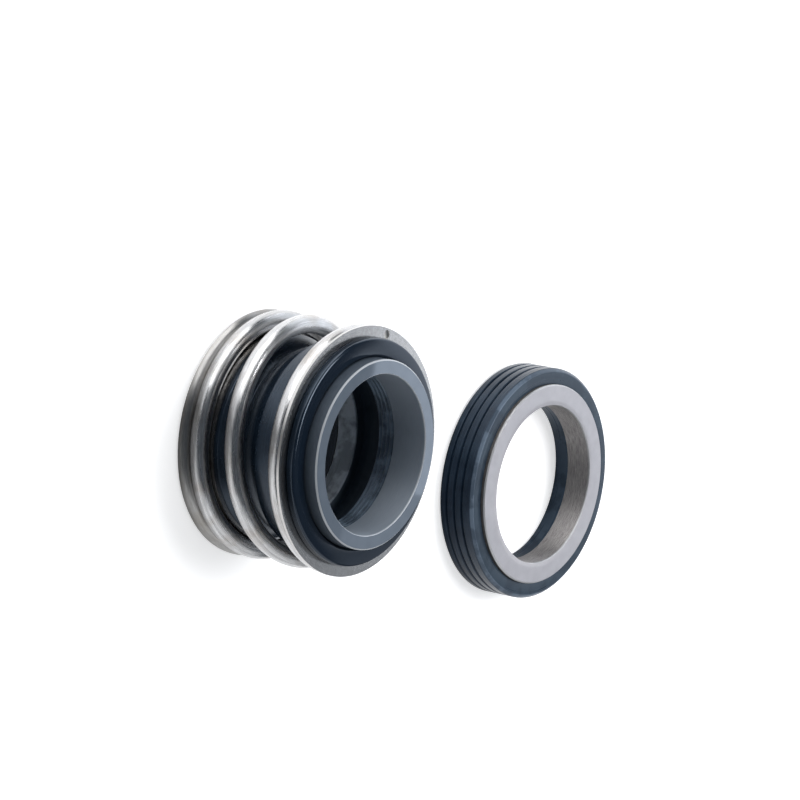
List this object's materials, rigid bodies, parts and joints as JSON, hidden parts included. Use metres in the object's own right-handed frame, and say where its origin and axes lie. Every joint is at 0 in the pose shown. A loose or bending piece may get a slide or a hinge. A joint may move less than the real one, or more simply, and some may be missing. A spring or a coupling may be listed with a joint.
{
  "type": "mechanical shaft seal",
  "caption": "Rubber bellows shaft seal with one coil spring: rotating head standing on its rear ring, with the matching stationary seat lying flat beside it.",
  "frame": {"origin": "centre of the shaft bore at the head's rear face, which is the surface that both halves stand on", "axes": "+Z along the head's shaft bore, from the rear ring to the sealing face; +Y from the head's axis towards the seat that lies beside it"},
  "size_m": [0.057, 0.1575, 0.034],
  "materials": {
    "bellows_rubber": "moulded, satin",
    "lapped_ring": "lapped face, ground sides",
    "spring_wire": "drawn wire",
    "angle_sheet": "pressed sheet, matte",
    "seat_metal": "lapped face, turned bore and sides",
    "cup_rubber": "moulded, satin"
  },
  "bodies": {
    "tail_and_seat": {"rear_angle_ring": "angle_sheet", "coil_spring": "spring_wire", "bellows": "bellows_rubber", "seat_ring": "seat_metal", "seat_cup": "cup_rubber"},
    "ring_end": {"seal_ring": "lapped_ring", "front_angle_ring": "angle_sheet"}
  },
  "joints": [
    {"name": "face_travel", "type": "slide", "parent": "tail_and_seat", "child": "ring_end", "axis": [0, 0, 1], "range_m": [-0.0065, 0], "stiffness_N_per_m": 10000, "deforming": ["coil_spring", "bellows"]}
  ]
}
